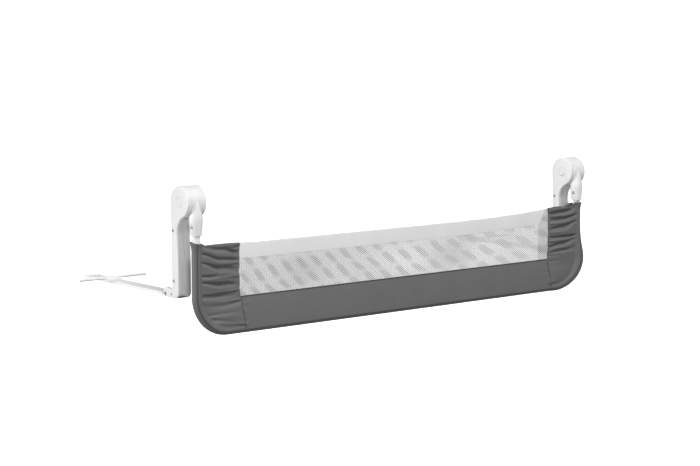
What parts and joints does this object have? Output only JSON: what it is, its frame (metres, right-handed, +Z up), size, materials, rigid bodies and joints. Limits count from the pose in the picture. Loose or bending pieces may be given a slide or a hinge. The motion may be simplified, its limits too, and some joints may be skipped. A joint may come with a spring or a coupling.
{
  "type": "folding bed guard rail",
  "caption": "Fold-down bed guard rail: tubular frame with ruched fabric and mesh cover on two locking hinge uprights, with flat arms that slide under the mattress.",
  "frame": {"origin": "midway between the two arms, on the bed base under the arms, in the plane of the mattress side, which the uprights' back faces touch", "axes": "+X along the rail to the right end, +Y towards the middle of the bed, +Z up; the rail is in its lowered position"},
  "size_m": [1.702, 0.5527, 0.4198],
  "materials": {
    "white_casing": "satin moulded",
    "white_button": "satin moulded",
    "white_trim": "satin moulded",
    "white_steel": "powder coated",
    "bare_steel": "zinc plated",
    "spring_steel": "drawn wire",
    "screw_steel": "zinc plated",
    "black_rubber": "matt",
    "grey_fabric": "woven polyester",
    "white_mesh": "warp-knitted mesh",
    "white_hem": "doubled mesh"
  },
  "bodies": {
    "uprights": {"left_outer_casing": "white_casing", "left_inner_casing": "white_casing", "left_steel_upright": "bare_steel", "left_hinge_axle": "bare_steel", "left_axle_washer": "bare_steel", "left_axle_nut": "bare_steel", "left_button_spring": "spring_steel", "left_upper_screw": "screw_steel", "left_lower_screw": "screw_steel", "left_foot_screw": "screw_steel", "left_foot_pad": "black_rubber", "left_arm_pin": "screw_steel", "right_outer_casing": "white_casing", "right_inner_casing": "white_casing", "right_steel_upright": "bare_steel", "right_hinge_axle": "bare_steel", "right_axle_washer": "bare_steel", "right_axle_nut": "bare_steel", "right_button_spring": "spring_steel", "right_upper_screw": "screw_steel", "right_lower_screw": "screw_steel", "right_foot_screw": "screw_steel", "right_foot_pad": "black_rubber", "right_arm_pin": "screw_steel"},
    "rail": {"left_hinge_hub": "white_casing", "left_hub_cap": "white_button", "left_lock_plate": "bare_steel", "left_lock_spring": "spring_steel", "left_neck_screw": "screw_steel", "right_hinge_hub": "white_casing", "right_hub_cap": "white_button", "right_lock_plate": "bare_steel", "right_lock_spring": "spring_steel", "right_neck_screw": "screw_steel", "left_corner_tube": "white_steel", "right_corner_tube": "white_steel", "bottom_tube": "white_steel", "left_end_panel": "grey_fabric", "right_end_panel": "grey_fabric", "lower_band": "grey_fabric", "mesh_window": "white_mesh", "top_hem": "white_hem"},
    "left_button": {"left_release_button": "white_button"},
    "right_button": {"right_release_button": "white_button"},
    "left_arm": {"left_arm_knuckle": "white_steel", "left_arm_bar": "white_steel", "left_arm_tip": "white_trim", "left_crossbar": "white_trim", "left_crossbar_outer_screw": "screw_steel", "left_crossbar_inner_screw": "screw_steel"},
    "right_arm": {"right_arm_knuckle": "white_steel", "right_arm_bar": "white_steel", "right_arm_tip": "white_trim", "right_crossbar": "white_trim", "right_crossbar_outer_screw": "screw_steel", "right_crossbar_inner_screw": "screw_steel"}
  },
  "joints": [
    {"name": "rail_fold", "type": "hinge", "parent": "uprights", "child": "rail", "pos_m": [0, -0.041, 0.264], "axis": [-1, 0, 0], "range_deg": [0, 180]},
    {"name": "left_arm_fold", "type": "hinge", "parent": "uprights", "child": "left_arm", "pos_m": [-0.745, 0.031, 0.009], "axis": [1, 0, 0], "range_deg": [0, 90]},
    {"name": "right_arm_fold", "type": "hinge", "parent": "uprights", "child": "right_arm", "pos_m": [0.731, 0.031, 0.009], "axis": [1, 0, 0], "range_deg": [0, 90]},
    {"name": "left_button_press", "type": "slide", "parent": "uprights", "child": "left_button", "axis": [1, 0, 0], "range_m": [0, 0.004], "stiffness_N_per_m": 500, "springref_m": -0.003, "deforming": ["left_button_spring"]},
    {"name": "right_button_press", "type": "slide", "parent": "uprights", "child": "right_button", "axis": [1, 0, 0], "range_m": [0, 0.004], "stiffness_N_per_m": 500, "springref_m": -0.003, "deforming": ["right_button_spring"]}
  ]
}
